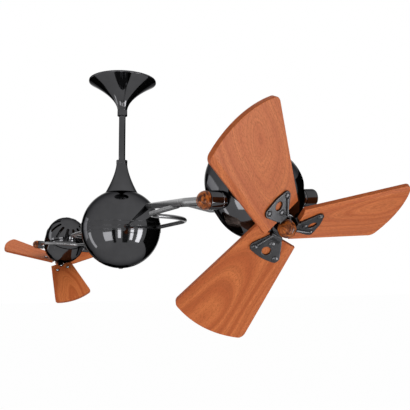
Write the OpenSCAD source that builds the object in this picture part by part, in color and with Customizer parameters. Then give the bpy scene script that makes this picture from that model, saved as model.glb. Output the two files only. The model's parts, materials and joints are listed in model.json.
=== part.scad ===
// Ceiling fan with two three-blade heads on a free-turning carriage.
// Millimetres, +Z up. The origin is the centre of the canopy's rim, in the ceiling plane.
// Head a is the one towards +X, and head b is its twin, turned half a turn about Z.

/* [Suspension] */
// Ceiling to the centre of the ball
drop = 294; // [250:1:600]
// Outer diameter of the downrod
rod_d = 13; // [11:0.5:14]
// Radius of the canopy's rim
canopy_r = 66; // [60:1:75]
// Height of the canopy
canopy_h = 60; // [50:1:70]

/* [Ball] */
// Outer radius of the ball
ball_r = 76; // [74:1:80]
// Wall of both half shells
shell_t = 2.5; // [2:0.5:3]

/* [Arms] */
// From the ball's axis to each head's pivot line
arm_reach = 530; // [500:5:600]
// How far the pivot lines lie below the ball's centre
pivot_drop = 8; // [0:1:12]
// Roll of each pivot line about its arm
pivot_roll = 4; // [0:1:5]
// Diameter of the main arm tubes
arm_d = 11; // [9:0.5:12]
// Diameter of the scroll braces and yokes
bar_d = 7; // [5:0.5:8]

/* [Heads] */
// Rest tilt of head a below the horizontal
tilt_a = 40; // [0:1:90]
// Rest tilt of head b below the horizontal
tilt_b = 45; // [0:1:90]
// Outer radius of the motor housing
head_r = 53; // [50:0.5:53]

/* [Rotors] */
// From a rotor's axis to its blade tips
rotor_r = 150; // [120:1:160]
// Pitch of the blades
blade_pitch = 19.5; // [10:0.5:22]
// Thickness of the wooden blades
blade_t = 6; // [4:0.5:7]
// Resting turn of rotor a
phase_a = 216; // [0:1:360]
// Resting turn of rotor b
phase_b = 349; // [0:1:360]

/* [Hidden] */
$fn = 64;

// Finishes
nickel = "#3b3b3e";
steel = "#b9bbbe";
wood = "#b5603a";
dark_wood = "#7a3b22";
copper = "#b8703c";
plastic = "#202022";

// Suspension
bracket_size = [112, 30, 3];
slot_span = 88.9;
slot_w = 5;
slot_l = 16;
wire_port_r = 3;
wire_port_z = -6.5;
socket_r = 10;
rod_r = rod_d / 2;
rod_bore = rod_r - 1.5;
rod_top = -10;
hang_pin_z = -17;
cone_top = -drop + 127;
cone_foot = -drop + 70;
cone_top_r = 10.6;
cone_foot_r = 31;
cone_power = 1.55;
canopy_power = 1.8;
canopy_neck_r = 9.5;
canopy_t = 1.2;
canopy_lip = 3;
neck_play = 0.25;
collar_r = 9.7;
collar_h = 11;
low_collar_r = 10.8;
low_collar_h = 7;
set_screw_r = 1.5;
pin_r = 1.6;

// Spindle, bearings and contacts, as heights above the ball's centre
spindle_r = 5;
spindle_bore = 2.5;
spindle_top = 147;
spindle_foot = -38;
spindle_pin_z = 138;
bearing_r = 11;
bearing_h = 8;
upper_bearing_z = 44;
lower_bearing_z = 8;
bearing_fit = 0.03;
nut_z = 0;
nut_h = 6.5;
ring_r = 8;
ring_z = [-10, -18, -26];
ring_h = 4;
carrier_z = 26;
carrier_t = 5;
carrier_r = 64;
hub_wall = 4;
lug_r = 8.5;
inner_r = ball_r - shell_t;
band_low = -8;
band_high = 10;
band_proud = 0.7;
crown_hole_r = 12;
brush_gap = 0.3;
stay_r = 2;
stay_head_r = 4;
strap_z = -47;
strap_t = 3;
strap_half = 30;
capacitor_at = [20, -44];
capacitor_r = 8.9;
capacitor_h = 33;

// Main arm: a straight run out of the ball, a short bend, and a run along X to the barrel
arm_r = arm_d / 2;
arm_bore = arm_r - 1.3;
arm_entry = [55, 34.8, 39.1];
arm_bend_y = -62;
arm_bend = [456, arm_bend_y, -6];
arm_inside = 40;
arm_run = (arm_entry - arm_bend) / norm(arm_entry - arm_bend);

// Scroll brace: plan arcs at the height of the ball's centre
bar_r = bar_d / 2;
joint_gap = 0.3;
joint_bead = 0.2;
scroll_y = 52;
scroll_start = 34;
big_centre = [172, -33, 0];
big_turn = 76.1;
big_r = scroll_y - big_centre[1];
small_r = 28;
mid_run = 8;
big_end = big_centre + big_r * [sin(big_turn), cos(big_turn), 0];
small_start = big_end + mid_run * [cos(big_turn), -sin(big_turn), 0];
small_centre = small_start + small_r * [sin(big_turn), cos(big_turn), 0];
scroll_end = 384;
scroll_z = -1;

// Yoke: plan arc in the rolled plane of the pivot line
yoke_y = 62;
yoke_bow_r = 57;
yoke_turn = 106.7;
yoke_centre = [arm_reach - 57.5, yoke_y - yoke_bow_r, 0];
bow_end = yoke_centre - yoke_bow_r * [sin(yoke_turn), -cos(yoke_turn), 0];
// Point of the arm's axis that the yoke's leg is brazed to, in the ball's and in the pivot's frame
yoke_foot = arm_entry + 0.955 * (arm_bend - arm_entry);
yoke_foot_z = yoke_foot[2] + pivot_drop;
leg_end = [yoke_foot[0], yoke_foot[1] * cos(pivot_roll) + yoke_foot_z * sin(pivot_roll),
    yoke_foot_z * cos(pivot_roll) - yoke_foot[1] * sin(pivot_roll)];

// Pivots
barrel_r = 10.5;
barrel_in = 53.5;
barrel_out = 68;
pin_head_r = 5;
pivot_fit = 0.05;
washer_t = 0.7;
face_gap = 0.2;
finial_l = 13;
finial_base = 2.4;
cap_r = 9.9;
cap_h = 3;
cap_dome_r = 24;

// Motor housing, in the head's own frame: +Z forward along the rotor's axis, Y along the pivot
dome_z = -38;
bowl_z = -11;
bowl_front = 34;
wall = 2.5;
vent_count = 12;
vent_w = 7;
vent_l = 27;
vent_angle = 47;
dome_step = 1.8;
window_count = 6;
boss_w = 17;
stator_back = -31;
spigot_h = 6;
spigot_play = 0.1;
stator_front = -14;
stator_bore = 28.4;
core_r = 28;
shaft_r = 4;
head_bearing_r = 9;
head_bearing_h = 6;
rear_bearing_z = -82;
front_bearing_z = 25;
screw_z = -35;
screw_r = 1.5;
screw_head_r = 2.5;
screw_seat = 52.2;

// Rotor
hub_r = 13.5;
hub_back = 37;
hub_front = 51;
hub_ball_r = 10;
hub_ball_z = 57.5;
blade_z = 51;
root_r = 14.5;
root_half = 26;
tip_half = 46.5;
tip_arc = 110;
corner_r = 8;
tip_centre = rotor_r - tip_arc;
corner_y = tip_half - corner_r;
corner_x = tip_centre + sqrt(pow(tip_arc - corner_r, 2) - pow(corner_y, 2));
tip_angle = atan2(corner_y, corner_x - tip_centre);
edge_run = [corner_x - root_r, corner_y - root_half];
side_angle = atan2(edge_run[1], edge_run[0]) + asin(corner_r / norm(edge_run));
notch_half = 8;
chamfer_w = 6.2;
chamfer_h = 1.7;
notch_end = 20.5;
iron_t = 2.6;
iron_screws = [[36, 14], [36, -14], [23.5, 0]];
iron_hole = [33, 0];
iron_hole_r = 5;

function head_tilt(side) = side == 0 ? tilt_a : tilt_b;
// Head a's yoke end is closed by a metal cap instead of a finial
function has_finial(side, end) = side == 1 || end < 0;
function rotor_phase(side) = side == 0 ? phase_a : phase_b;

// ---- Placing -----------------------------------------------------------------------------

module at_ball(side = 0) {
    translate([0, 0, -drop]) rotate([0, 0, 180 * side]) children();
}

module at_pivot(side) {
    at_ball(side) translate([arm_reach, 0, -pivot_drop]) rotate([pivot_roll, 0, 0]) children();
}

module at_head(side) {
    at_pivot(side) rotate([0, 90 + head_tilt(side), 0]) children();
}

module at_rotor(side) {
    at_head(side) rotate([0, 0, rotor_phase(side)]) children();
}

// Lies on a blade's middle plane: +X outward along the blade, +Y towards its forward edge
module at_blade(side, number) {
    at_rotor(side) rotate([0, 0, 120 * number]) translate([0, 0, blade_z])
        rotate([blade_pitch, 0, 0]) children();
}

// A round bar from one point to another
module bar(from, to, r) {
    v = to - from;
    translate(from) rotate([0, acos(v[2] / norm(v)), atan2(v[1], v[0])])
        cylinder(h = norm(v), r = r);
}

// A round bar bent about a plan centre, counted anticlockwise from the first angle
module bend(centre, bend_r, first, turn, r) {
    translate(centre) rotate([0, 0, first]) rotate_extrude(angle = turn)
        translate([bend_r, 0]) circle(r = r);
}

// A bar of a bent run, a little short at both ends; the joints' beads close the gaps
module link(from, to, r) {
    run = (to - from) / norm(to - from);
    bar(from + joint_gap * run, to - joint_gap * run, r);
}

// The bead over a joint of a bent run, turned so that its seam lies beside the bars
module bead(at, r, heading = 0) {
    translate(at) rotate([0, 0, heading + 90]) sphere(r = r + joint_bead);
}

module ring(h, outer, inner) {
    difference() {
        cylinder(h = h, r = outer);
        translate([0, 0, -1]) cylinder(h = h + 2, r = inner);
    }
}

// ---- Suspension --------------------------------------------------------------------------

// Plate screwed to the ceiling box, with the socket that the rod hangs in
module ceiling_bracket() color(steel) {
    difference() {
        union() {
            translate([0, 0, -bracket_size[2] / 2]) cube(bracket_size, center = true);
            translate([0, 0, -24]) cylinder(h = 22, r = socket_r);
        }
        translate([0, 0, -30]) cylinder(h = 30 - bracket_size[2], r = rod_r);
        for (x = [-slot_span / 2, slot_span / 2]) translate([x, 0, -2 * bracket_size[2]]) {
            for (end = [-1, 1]) translate([end * (slot_l - slot_w) / 2, 0, 0])
                cylinder(h = 10, r = slot_w / 2);
            translate([-(slot_l - slot_w) / 2, -slot_w / 2, 0]) cube([slot_l - slot_w, slot_w, 10]);
        }
        translate([0, 0, hang_pin_z]) rotate([90, 0, 0])
            cylinder(h = 40, r = pin_r, center = true);
        translate([0, 0, wire_port_z]) rotate([0, 90, 0])
            cylinder(h = 40, r = wire_port_r, center = true);
    }
}

function trumpet(r0, r1, h, power, t) = r1 + (r0 - r1) * pow(1 - t, power);

// Half section of the trumpet, offset inwards by a wall
module canopy_section(inset) {
    steps = 14;
    polygon(concat(
        [[0, 0], [canopy_r - inset, 0], [canopy_r - inset, -canopy_lip]],
        [for (i = [1 : steps])
            [trumpet(canopy_r, canopy_neck_r, canopy_h, canopy_power, i / steps) - inset,
             -canopy_lip - (canopy_h - canopy_lip) * i / steps]],
        [[0, -canopy_h]]));
}

module canopy() color(nickel) difference() {
    rotate_extrude() canopy_section(0);
    translate([0, 0, 0.01]) intersection() {
        rotate_extrude() canopy_section(canopy_t);
        translate([0, 0, -canopy_h + 8]) cylinder(h = canopy_h, r = canopy_r);
    }
    translate([0, 0, -canopy_h - 1]) cylinder(h = canopy_h + 2, r = rod_r + neck_play);
}

module canopy_collar() color(nickel) translate([0, 0, -canopy_h - collar_h]) difference() {
    cylinder(h = collar_h, r = collar_r);
    translate([0, 0, -1]) cylinder(h = collar_h + 2, r = rod_r);
    translate([0, 0, collar_h / 2]) rotate([0, 90, 90]) cylinder(h = collar_r + 1, r = set_screw_r);
}

// Grub screws of the two collars, pressed on the rod
module collar_screws() color(steel) {
    translate([0, 0, -canopy_h - collar_h / 2]) rotate([0, 90, 90]) translate([0, 0, rod_r])
        cylinder(h = collar_r - rod_r - 0.5, r = set_screw_r);
    translate([0, 0, cone_top + low_collar_h / 2]) rotate([0, 90, 90]) translate([0, 0, rod_r])
        cylinder(h = low_collar_r - rod_r - 0.5, r = set_screw_r);
}

module downrod() color(nickel) difference() {
    translate([0, 0, cone_top]) cylinder(h = rod_top - cone_top, r = rod_r);
    translate([0, 0, cone_top - 1]) cylinder(h = rod_top - cone_top + 2, r = rod_bore);
    for (z = [hang_pin_z, -drop + spindle_pin_z]) translate([0, 0, z]) rotate([90, 0, 0])
        cylinder(h = 40, r = pin_r, center = true);
}

// Cross pins that hang the rod in the bracket and the spindle in the rod
module rod_pins() color(steel) {
    translate([0, 0, hang_pin_z]) rotate([90, 0, 0])
        cylinder(h = 2 * socket_r + 2, r = pin_r, center = true);
    translate([0, 0, -drop + spindle_pin_z]) rotate([90, 0, 0])
        cylinder(h = 2 * rod_r, r = pin_r, center = true);
}

module lower_collar() color(nickel) translate([0, 0, cone_top]) difference() {
    cylinder(h = low_collar_h, r = low_collar_r);
    translate([0, 0, -1]) cylinder(h = low_collar_h + 2, r = rod_r);
    translate([0, 0, low_collar_h / 2]) rotate([0, 90, 90])
        cylinder(h = low_collar_r + 1, r = set_screw_r);
}

module cone_section(inset) {
    steps = 12;
    height = cone_top - cone_foot;
    polygon(concat([[0, 0], [0, -height]],
        [for (i = [steps : -1 : 0])
            [cone_top_r + (cone_foot_r - cone_top_r) * pow(i / steps, cone_power) - inset,
             -height * i / steps]]));
}

// Fixed trumpet over the ball's crown
module bell_cone() color(nickel) difference() {
    translate([0, 0, cone_top]) rotate_extrude() cone_section(0);
    translate([0, 0, cone_top - 4]) rotate_extrude() cone_section(2);
    translate([0, 0, cone_foot - 20]) cylinder(h = 20, r = cone_foot_r + 10);
    at_ball() sphere(r = ball_r + 0.4);
    translate([0, 0, cone_top - 10]) cylinder(h = 20, r = spindle_r);
}

module spindle() color(steel) at_ball() difference() {
    union() {
        translate([0, 0, spindle_foot]) cylinder(h = spindle_top - spindle_foot, r = spindle_r);
        translate([0, 0, upper_bearing_z + bearing_h]) cylinder(h = 4, r = spindle_r + 2);
    }
    translate([0, 0, spindle_foot - 1]) cylinder(h = spindle_top - spindle_foot + 2, r = spindle_bore);
    translate([0, 0, spindle_pin_z]) rotate([90, 0, 0]) cylinder(h = 40, r = pin_r, center = true);
}

// Lock nut that carries the whole carriage
module spindle_nut() color(steel) at_ball() translate([0, 0, nut_z]) difference() {
    cylinder(h = nut_h, r = 9, $fn = 6);
    translate([0, 0, -1]) cylinder(h = nut_h + 2, r = spindle_r);
}

module slip_rings() color(copper) at_ball() {
    for (z = ring_z) translate([0, 0, z - ring_h / 2]) ring(ring_h, ring_r, spindle_r);
}

// ---- Carriage ----------------------------------------------------------------------------

module arm_path(side, r, inside) {
    at_ball(side) {
        link(arm_entry + inside * arm_run, arm_bend, r);
        bead(arm_bend, r);
        link(arm_bend,
            [arm_reach, -yoke_y * cos(pivot_roll), -pivot_drop - yoke_y * sin(pivot_roll)], r);
    }
}

module scroll_path(side, r) {
    straight_end = [big_centre[0], scroll_y, 0];
    small_end = [small_centre[0], small_centre[1] - small_r, 0];
    at_ball(side) translate([0, 0, scroll_z]) {
        link([scroll_start, scroll_y, 0], straight_end, r);
        bend(big_centre, big_r, 90 - big_turn, big_turn, r);
        link(big_end, small_start, r);
        bend(small_centre, small_r, 270 - big_turn, big_turn, r);
        link(small_end, [scroll_end, small_end[1], 0], r);
        for (at = [straight_end, small_end]) bead(at, r);
        for (at = [big_end, small_start]) bead(at, r, -big_turn);
    }
}

// Openings that both shells and the band have for the arms and braces
module arm_openings() {
    for (side = [0, 1]) {
        at_ball(side) bar(arm_entry + 22 * arm_run, arm_entry - 22 * arm_run, arm_r + 0.15);
        at_ball(side) translate([0, 0, scroll_z])
            bar([scroll_start + 6, scroll_y, 0], [scroll_start + 40, scroll_y, 0], bar_r + 0.15);
    }
}

module shell_ball() {
    difference() {
        sphere(r = ball_r);
        sphere(r = inner_r);
    }
}

module upper_shell() color(nickel) difference() {
    at_ball() difference() {
        intersection() {
            shell_ball();
            cylinder(h = ball_r, r = ball_r + 1);
        }
        cylinder(h = ball_r + 1, r = crown_hole_r);
    }
    arm_openings();
}

module lower_shell() color(nickel) difference() {
    at_ball() difference() {
        intersection() {
            shell_ball();
            translate([0, 0, -ball_r]) cylinder(h = ball_r, r = ball_r + 1);
        }
        translate([0, 0, -ball_r - 1]) cylinder(h = 20, r = stay_r + 0.1);
        translate([0, 0, -ball_r - 1]) cylinder(h = 2, r = stay_head_r + 0.2);
    }
    arm_openings();
}

// Thin belt over the seam of the two shells, with a fine groove round its middle
module equator_band() color(nickel) difference() {
    at_ball() difference() {
        intersection() {
            sphere(r = ball_r + band_proud);
            translate([0, 0, band_low]) cylinder(h = band_high - band_low, r = ball_r + 5);
        }
        sphere(r = ball_r);
        translate([0, 0, -0.4]) ring(0.8, ball_r + 5, ball_r + 0.35);
    }
    arm_openings();
}

// Casting inside the ball: bearing hub, web plate and the lugs that hold the arms
module arm_carrier() color(steel) difference() {
    at_ball() intersection() {
        difference() {
            union() {
                translate([0, 0, carrier_z]) cylinder(h = carrier_t, r = carrier_r);
                translate([0, 0, lower_bearing_z])
                    cylinder(h = upper_bearing_z + bearing_h - lower_bearing_z, r = bearing_r + hub_wall);
                for (side = [0, 1]) rotate([0, 0, 180 * side]) {
                    bar(arm_entry + 14 * arm_run, arm_entry + 38 * arm_run, lug_r);
                    translate([12, 38, carrier_z]) cube([30, 10, 14]);
                    translate([scroll_start, scroll_y - 10, -6]) cube([9, 16, carrier_z + 8]);
                }
            }
            translate([0, 0, lower_bearing_z - 1])
                cylinder(h = upper_bearing_z + bearing_h - lower_bearing_z + 2, r = bearing_r - 2);
            for (z = [lower_bearing_z, upper_bearing_z]) translate([0, 0, z - 0.01])
                cylinder(h = bearing_h + 0.02, r = bearing_r);
            for (side = [0, 1]) rotate([0, 0, 180 * side]) translate(capacitor_at)
                translate([0, 0, carrier_z - 1]) cylinder(h = carrier_t + 2, r = capacitor_r + 0.1);
        }
        sphere(r = inner_r - 0.2);
    }
    for (side = [0, 1]) {
        arm_path(side, arm_r, arm_inside);
        scroll_path(side, bar_r);
    }
    at_ball() translate([0, 0, carrier_z - 1]) translate([46, 0, 0])
        cylinder(h = carrier_t + 2, r = 2);
}

module carriage_bearings() color(steel) at_ball() {
    for (z = [lower_bearing_z, upper_bearing_z]) translate([0, 0, z])
        ring(bearing_h, bearing_r, spindle_r + bearing_fit);
}

// Block of sprung contacts that slide on the three rings
module brush_holder() color(plastic) at_ball() {
    difference() {
        union() {
            translate([12, -7, -32]) cube([12, 14, 28]);
            translate([20, -7, -32]) cube([4, 14, 32 + carrier_z]);
            translate([20, -7, carrier_z - 3]) cube([32, 14, 3]);
        }
        translate([46, 0, carrier_z - 5]) cylinder(h = 8, r = 2);
    }
    for (z = ring_z) translate([0, 0, z]) intersection() {
        translate([0, -1.5, -1.5]) cube([12, 3, 3]);
        difference() {
            cylinder(h = 4, r = 12.2, center = true);
            cylinder(h = 6, r = ring_r + brush_gap, center = true);
        }
    }
}

// Long screw that draws the lower shell up against the upper one
module stay_screw() color(nickel) at_ball() {
    translate([0, 0, -ball_r - 1.2]) cylinder(h = 2.2, r = stay_head_r);
    translate([0, 0, -ball_r]) cylinder(h = ball_r + strap_z + strap_t + 2, r = stay_r);
}

// Strap under the web plate that the stay screw is threaded in
module stay_strap() color(steel) at_ball() difference() {
    union() {
        translate([-4, -strap_half, strap_z]) cube([8, 2 * strap_half, strap_t]);
        for (y = [-strap_half, strap_half - strap_t]) translate([-4, y, strap_z])
            cube([8, strap_t, carrier_z - strap_z]);
    }
    translate([0, 0, strap_z - 1]) cylinder(h = strap_t + 2, r = stay_r);
}

module run_capacitors() color(plastic) at_ball() {
    for (side = [0, 1]) rotate([0, 0, 180 * side]) translate(capacitor_at)
        translate([0, 0, carrier_z + carrier_t - capacitor_h])
            cylinder(h = capacitor_h, r = capacitor_r);
}

module main_arm(side) color(nickel) difference() {
    arm_path(side, arm_r, arm_inside);
    arm_path(side, arm_bore, arm_inside + 1);
    pivot_space(side);
}

// The barrels' own solid, which the arm and the yoke are coped to
module pivot_space(side) {
    at_pivot(side) for (end = [-1, 1]) rotate([end * -90, 0, 0]) translate([0, 0, barrel_in - 3])
        cylinder(h = barrel_out - barrel_in + 6, r = barrel_r);
    at_ball(side) translate([arm_reach, -100, -60]) cube([40, 200, 120]);
}

module scroll_brace(side) color(nickel) difference() {
    scroll_path(side, bar_r);
    arm_path(side, arm_r, arm_inside);
}

module yoke(side) color(nickel) difference() {
    at_pivot(side) translate([-arm_reach, 0, 0]) {
        bend(yoke_centre, yoke_bow_r, 90, yoke_turn, bar_r);
        link([yoke_centre[0], yoke_y, 0], [arm_reach, yoke_y, 0], bar_r);
        link(bow_end, leg_end, bar_r);
        bead([yoke_centre[0], yoke_y, 0], bar_r);
        bead(bow_end, bar_r, yoke_turn + 180);
    }
    arm_path(side, arm_r, arm_inside);
    pivot_space(side);
}

module pivot_barrels() color(nickel) {
    for (side = [0, 1]) at_pivot(side) for (end = [-1, 1]) rotate([end * -90, 0, 0])
        translate([0, 0, barrel_in])
            ring(barrel_out - barrel_in, barrel_r, pin_head_r + pivot_fit);
}

// Spring washers between barrels and housings; they hold the tilt by friction
module friction_washers() color(steel) {
    for (side = [0, 1]) at_pivot(side) for (end = [-1, 1]) rotate([end * -90, 0, 0])
        translate([0, 0, barrel_in - washer_t]) ring(washer_t, barrel_r - 1, pin_head_r + 0.3);
}

// ---- Heads -------------------------------------------------------------------------------

// Slots with round ends through the dome, set like rays
module dome_vents() {
    for (i = [0 : vent_count - 1]) rotate([0, 0, (i + 0.5) * 360 / vent_count])
        rotate([0, 180 - vent_angle, 0]) linear_extrude(head_r + 5) {
            square([vent_l, vent_w], center = true);
            for (x = [-vent_l / 2, vent_l / 2]) translate([x, 0]) circle(r = vent_w / 2);
        }
}

module rear_dome(side) color(nickel) at_head(side) difference() {
    union() {
        translate([0, 0, dome_z]) difference() {
            sphere(r = head_r - dome_step);
            sphere(r = head_r - dome_step - wall);
            cylinder(h = head_r + 1, r = head_r + 1);
            dome_vents();
        }
        intersection() {
            translate([0, 0, dome_z]) sphere(r = head_r - dome_step - wall / 2);
            translate([0, 0, dome_z - head_r])
                cylinder(h = rear_bearing_z + head_bearing_h - dome_z + head_r, r = head_bearing_r + 3);
        }
        translate([0, 0, dome_z - 3])
            ring(3 + spigot_h, head_r - wall - spigot_play, head_r - wall - 2.5);
    }
    translate([0, 0, rear_bearing_z]) cylinder(h = 30, r = head_bearing_r);
    screw_places() cylinder(h = head_r, r = screw_r);
}

// Radial screws of the housing, +Z outward
module screw_places() {
    for (i = [0 : 3]) rotate([0, 0, 45 + 90 * i]) translate([0, 0, screw_z]) rotate([0, 90, 0])
        children();
}

// Half section of the bowl: a cylinder, then a quarter round that ends in a flat nose
module bowl_section(inset) {
    r = head_r - inset;
    nose = bowl_front - inset - bowl_z;
    translate([0, dome_z]) square([r, bowl_z - dome_z]);
    translate([0, bowl_z]) intersection() {
        circle(r = r);
        square([r, nose]);
    }
}

module bowl_windows() {
    for (i = [0 : window_count - 1]) rotate([0, 0, i * 360 / window_count])
        translate([0, 0, bowl_z]) rotate([90, 0, 0]) intersection() {
            translate([0, 0, -40]) linear_extrude(80)
                polygon([[0, 0], 80 * [cos(12), sin(12)], 80 * [cos(47), sin(47)]]);
            rotate([-90, 0, 0]) linear_extrude(80)
                polygon([[0, 0], 80 * [cos(20), -sin(20)], 80 * [cos(20), sin(20)]]);
        }
}

module front_bowl(side) color(nickel) at_head(side) difference() {
    union() {
        difference() {
            rotate_extrude() bowl_section(0);
            translate([0, 0, -0.01]) rotate_extrude() bowl_section(wall);
            bowl_windows();
        }
        translate([0, 0, front_bearing_z - 2]) cylinder(h = bowl_front - front_bearing_z + 2,
            r = head_bearing_r + 3);
        for (end = [-1, 1]) translate([-boss_w / 2, end > 0 ? head_r - 8 : -barrel_in + washer_t + face_gap,
                                       -boss_w / 2])
            cube([boss_w, barrel_in - washer_t - face_gap - head_r + 8, boss_w]);
    }
    translate([0, 0, front_bearing_z - 5]) cylinder(h = head_bearing_h + 5, r = head_bearing_r);
    cylinder(h = 80, r = shaft_r + 1);
    rotate([90, 0, 0]) cylinder(h = 2 * barrel_in, r = pin_head_r, center = true);
    for (end = [-1, 1]) rotate([end * -90, 0, 0])
        translate([0, 0, barrel_in - washer_t - face_gap]) cylinder(h = 9, r = barrel_r + 1);
    screw_places() {
        cylinder(h = head_r + 1, r = screw_r);
        translate([0, 0, screw_seat]) cylinder(h = 5, r = screw_head_r + 0.1);
    }
}

// Pivot pins, pressed in the bowl's bosses; their ends carry the finials, or a low domed cap
module trunnions(side) color(nickel) at_head(side)
    for (end = [-1, 1]) rotate([end * -90, 0, 0]) {
        translate([0, 0, head_r - 8]) cylinder(h = barrel_out - head_r + 8, r = pin_head_r);
        if (has_finial(side, end)) {
            translate([0, 0, barrel_out]) cylinder(h = 8, r = 2);
        } else {
            translate([0, 0, barrel_out - 1]) cylinder(h = 2, r = pin_head_r);
            intersection() {
                translate([0, 0, barrel_out + face_gap]) cylinder(h = cap_h + 1, r = cap_r);
                translate([0, 0, barrel_out + face_gap + cap_h - cap_dome_r])
                    sphere(r = cap_dome_r);
            }
        }
    }

module stator(side) color(copper) at_head(side) {
    translate([0, 0, stator_back]) ring(stator_front - stator_back, head_r - wall, stator_bore);
    for (z = [stator_back - 7, stator_front]) translate([0, 0, z]) ring(7, 44, stator_bore + 4);
}

module head_bearings(side) color(steel) at_head(side)
    for (z = [rear_bearing_z, front_bearing_z]) translate([0, 0, z])
        ring(head_bearing_h, head_bearing_r, shaft_r + bearing_fit);

module housing_screws(side) color(steel) at_head(side) screw_places() {
    translate([0, 0, head_r - wall - 3]) cylinder(h = screw_seat - head_r + wall + 3, r = screw_r);
    translate([0, 0, screw_seat]) cylinder(h = 1.4, r = screw_head_r);
}

// Turned wooden acorns, threaded on the pivot pins
module pivot_finials(side) color(dark_wood) at_head(side)
    for (end = [-1, 1]) if (has_finial(side, end))
    rotate([end * -90, 0, 0]) translate([0, 0, barrel_out + face_gap]) difference() {
        rotate_extrude() intersection() {
            union() {
                square([barrel_r, finial_base]);
                translate([0, finial_base]) intersection() {
                    circle(r = barrel_r);
                    square([barrel_r, barrel_r]);
                }
            }
            square([barrel_r, finial_l]);
        }
        translate([0, 0, -1]) cylinder(h = 9 - face_gap, r = 2);
    }

// ---- Rotors ------------------------------------------------------------------------------

module motor_shaft(side) color(steel) at_head(side)
    translate([0, 0, rear_bearing_z + 0.5]) cylinder(h = hub_front + 2.5 - rear_bearing_z, r = shaft_r);

module rotor_core(side) color(steel) at_head(side)
    translate([0, 0, stator_back]) ring(stator_front - stator_back, core_r, shaft_r);

module blade_hub(side) color(nickel) at_head(side)
    translate([0, 0, hub_back]) ring(hub_front - hub_back, hub_r, shaft_r);

module hub_ball(side) color(dark_wood) at_head(side) difference() {
    intersection() {
        translate([0, 0, hub_ball_z]) sphere(r = hub_ball_r);
        translate([0, 0, hub_front]) cylinder(h = 40, r = 20);
    }
    translate([0, 0, hub_front - 1]) cylinder(h = 4, r = shaft_r);
}

// Rounded triangle of an iron, narrowing to its neck
module iron_outline() {
    hull() {
        for (y = [-15, 15]) translate([36, y]) circle(r = 6);
        translate([16, -8]) square([1, 16]);
    }
}

module blade_irons(side) color(nickel) difference() {
    for (k = [0 : 2]) {
        at_blade(side, k) difference() {
            union() {
                translate([0, 0, blade_t / 2]) linear_extrude(iron_t) iron_outline();
                for (p = iron_screws) translate([p[0], p[1], blade_t / 2])
                    cylinder(h = iron_t + 1.6, r = 3.2);
                translate([11, -notch_half + 1, -blade_t / 2])
                    cube([9, 2 * notch_half - 2, blade_t + iron_t]);
            }
            translate([iron_hole[0], iron_hole[1], 0]) cylinder(h = 20, r = iron_hole_r);
            for (p = iron_screws) translate([p[0], p[1], 0]) cylinder(h = blade_t / 2 + iron_t, r = 2);
        }
    }
    at_head(side) translate([0, 0, hub_back - 10]) cylinder(h = 60, r = hub_r);
}

// Screws from behind, each on a washer
module blade_fasteners(side) color(steel)
    for (k = [0 : 2]) at_blade(side, k) for (p = iron_screws) translate([p[0], p[1], -blade_t / 2]) {
        cylinder(h = blade_t + iron_t, r = 2);
        translate([0, 0, -0.9]) cylinder(h = 0.9, r = 4.6);
        translate([0, 0, -2.9]) cylinder(h = 2, r = 2.9);
    }

function on_arc(x, y, r, from, to, steps) =
    [for (i = [0 : steps]) let (angle = from + (to - from) * i / steps)
        [x + r * cos(angle), y + r * sin(angle)]];

// Fan-shaped plank: straight root, straight sides and an arched tip with rounded corners
module blade_outline() {
    polygon(concat(
        [[root_r, -root_half]],
        on_arc(corner_x, -corner_y, corner_r, -90 - side_angle, -tip_angle, 6),
        on_arc(tip_centre, 0, tip_arc, -tip_angle + 2, tip_angle - 2, 16),
        on_arc(corner_x, corner_y, corner_r, tip_angle, 90 + side_angle, 6),
        [[root_r, root_half], [root_r, notch_half], [notch_end, notch_half],
         [notch_end, -notch_half], [root_r, -notch_half]]));
}

module blade(side, number) color(wood) at_blade(side, number) difference() {
    translate([0, 0, -blade_t / 2]) linear_extrude(blade_t) blade_outline();
    for (p = iron_screws) translate([p[0], p[1], -blade_t]) cylinder(h = 2 * blade_t, r = 2.1);
    translate([root_r, root_half, blade_t / 2]) rotate([0, 0, side_angle])
        translate([-root_r, -chamfer_w, 0]) rotate([-atan(chamfer_h / chamfer_w), 0, 0])
            cube([2 * rotor_r, 4 * chamfer_w, 2 * blade_t]);
}

// ---- Nodes -------------------------------------------------------------------------------

ceiling_bracket();
canopy();
canopy_collar();
collar_screws();
downrod();
rod_pins();
lower_collar();
bell_cone();
spindle();
spindle_nut();
slip_rings();
upper_shell();
lower_shell();
equator_band();
arm_carrier();
carriage_bearings();
brush_holder();
stay_screw();
stay_strap();
run_capacitors();
main_arm(0);  // main_arm_a
main_arm(1);  // main_arm_b
scroll_brace(0);  // scroll_brace_a
scroll_brace(1);  // scroll_brace_b
yoke(0);  // yoke_a
yoke(1);  // yoke_b
pivot_barrels();
friction_washers();
rear_dome(0);  // rear_dome_a
rear_dome(1);  // rear_dome_b
front_bowl(0);  // front_bowl_a
front_bowl(1);  // front_bowl_b
trunnions(0);  // trunnions_a
trunnions(1);  // trunnions_b
stator(0);  // stator_a
stator(1);  // stator_b
head_bearings(0);  // head_bearings_a
head_bearings(1);  // head_bearings_b
housing_screws(0);  // housing_screws_a
housing_screws(1);  // housing_screws_b
pivot_finials(0);  // pivot_finials_a
pivot_finials(1);  // pivot_finials_b
motor_shaft(0);  // motor_shaft_a
motor_shaft(1);  // motor_shaft_b
rotor_core(0);  // rotor_core_a
rotor_core(1);  // rotor_core_b
blade_hub(0);  // blade_hub_a
blade_hub(1);  // blade_hub_b
hub_ball(0);  // hub_ball_a
hub_ball(1);  // hub_ball_b
blade_irons(0);  // blade_irons_a
blade_irons(1);  // blade_irons_b
blade_fasteners(0);  // blade_fasteners_a
blade_fasteners(1);  // blade_fasteners_b
blade(0, 0);  // blade_a1
blade(0, 1);  // blade_a2
blade(0, 2);  // blade_a3
blade(1, 0);  // blade_b1
blade(1, 1);  // blade_b2
blade(1, 2);  // blade_b3
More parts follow.
